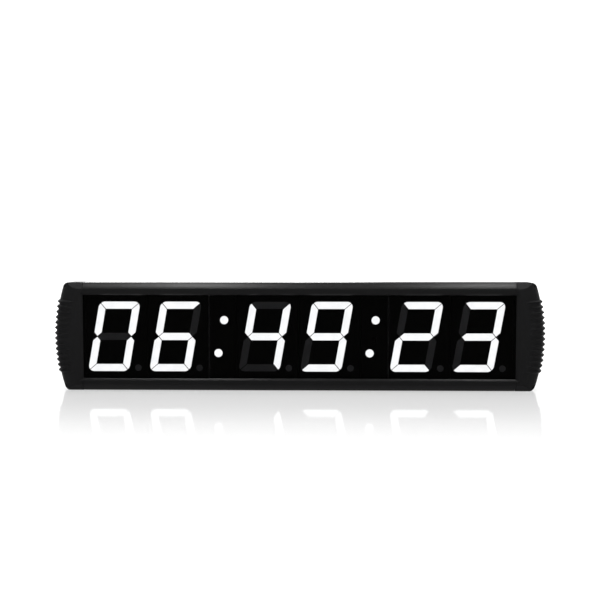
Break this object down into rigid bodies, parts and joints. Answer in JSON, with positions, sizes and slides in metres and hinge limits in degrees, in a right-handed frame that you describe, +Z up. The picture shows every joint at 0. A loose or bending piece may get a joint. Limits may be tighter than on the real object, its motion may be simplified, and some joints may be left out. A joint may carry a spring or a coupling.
{
  "type": "gym round timer",
  "caption": "Wide wall or table interval clock: slanted seven-segment figures and colons behind a smoked window, in a black aluminium case with ribbed rounded end caps.",
  "frame": {"origin": "middle of the case's base, at half its depth", "axes": "+X to the right as the display is read, +Y from the window to the back, +Z up"},
  "size_m": [0.732, 0.04, 0.16],
  "materials": {
    "rail_black": "satin black anodised",
    "cap_plastic": "fine textured black",
    "screw_black": "black oxide",
    "window_acrylic": "smoked, polished",
    "panel_black": "fine matt",
    "seal_foam": "matt foam",
    "module_black": "matt black face",
    "segment_lit": "diffusing resin, lit white",
    "segment_dark": "diffusing resin, unlit",
    "pin_tin": "tinned",
    "led_chip": "phosphor",
    "board_green": "solder mask",
    "chip_black": "moulded epoxy",
    "ribbon_grey": "vinyl",
    "post_steel": "nickel plated",
    "cell_steel": "nickel plated",
    "plug_white": "nylon",
    "key_rubber": "satin",
    "knob_black": "satin",
    "receiver_dark": "infrared-pass epoxy",
    "inlet_black": "moulded, with metal contacts",
    "lead_red": "vinyl insulation",
    "hanger_zinc": "zinc plated"
  },
  "bodies": {
    "case": {"top_rail": "rail_black", "bottom_rail": "rail_black", "left_end_cap": "cap_plastic", "right_end_cap": "cap_plastic", "cap_screws": "screw_black", "front_window": "window_acrylic", "back_panel": "panel_black", "left_light_seal": "seal_foam", "right_light_seal": "seal_foam", "left_colon_housing": "module_black", "left_colon_dots": "segment_lit", "right_colon_housing": "module_black", "right_colon_dots": "segment_lit", "module_pins": "pin_tin", "led_chips": "led_chip", "left_display_board": "board_green", "centre_display_board": "board_green", "right_display_board": "board_green", "driver_chips": "chip_black", "link_ribbons": "ribbon_grey", "controller_ribbon": "ribbon_grey", "board_standoffs": "post_steel", "controller_standoffs": "post_steel", "panel_screws": "screw_black", "controller_board": "board_green", "controller_chips": "chip_black", "buzzer": "chip_black", "coin_cell_holder": "chip_black", "coin_cell": "cell_steel", "key_switches": "chip_black", "power_switch_body": "cell_steel", "power_connector": "plug_white", "ir_receiver": "receiver_dark", "dc_inlet": "inlet_black", "dc_inlet_nut": "cell_steel", "power_leads": "lead_red", "digit_1_housing": "module_black", "digit_1_lit_segments": "segment_lit", "digit_1_unlit_segments": "segment_dark", "digit_2_housing": "module_black", "digit_2_lit_segments": "segment_lit", "digit_2_unlit_segments": "segment_dark", "digit_3_housing": "module_black", "digit_3_lit_segments": "segment_lit", "digit_3_unlit_segments": "segment_dark", "digit_4_housing": "module_black", "digit_4_lit_segments": "segment_lit", "digit_4_unlit_segments": "segment_dark", "digit_5_housing": "module_black", "digit_5_lit_segments": "segment_lit", "digit_5_unlit_segments": "segment_dark", "digit_6_housing": "module_black", "digit_6_lit_segments": "segment_lit", "digit_6_unlit_segments": "segment_dark"},
    "left_hanger": {"left_hanger": "hanger_zinc"},
    "right_hanger": {"right_hanger": "hanger_zinc"},
    "power_knob": {"power_switch_knob": "knob_black"},
    "key_one": {"set_key_1": "key_rubber"},
    "key_two": {"set_key_2": "key_rubber"},
    "key_three": {"set_key_3": "key_rubber"}
  },
  "joints": [
    {"name": "left_hanger_slide", "type": "slide", "parent": "case", "child": "left_hanger", "axis": [1, 0, 0], "range_m": [-0.06, 0.06]},
    {"name": "right_hanger_slide", "type": "slide", "parent": "case", "child": "right_hanger", "axis": [1, 0, 0], "range_m": [-0.06, 0.06]},
    {"name": "power_knob_slide", "type": "slide", "parent": "case", "child": "power_knob", "axis": [1, 0, 0], "range_m": [0, 0.004]},
    {"name": "key_one_press", "type": "slide", "parent": "case", "child": "key_one", "axis": [0, -1, 0], "range_m": [0, 0.0008], "stiffness_N_per_m": 300, "springref_m": -0.002},
    {"name": "key_two_press", "type": "slide", "parent": "case", "child": "key_two", "axis": [0, -1, 0], "range_m": [0, 0.0008], "stiffness_N_per_m": 300, "springref_m": -0.002},
    {"name": "key_three_press", "type": "slide", "parent": "case", "child": "key_three", "axis": [0, -1, 0], "range_m": [0, 0.0008], "stiffness_N_per_m": 300, "springref_m": -0.002}
  ]
}
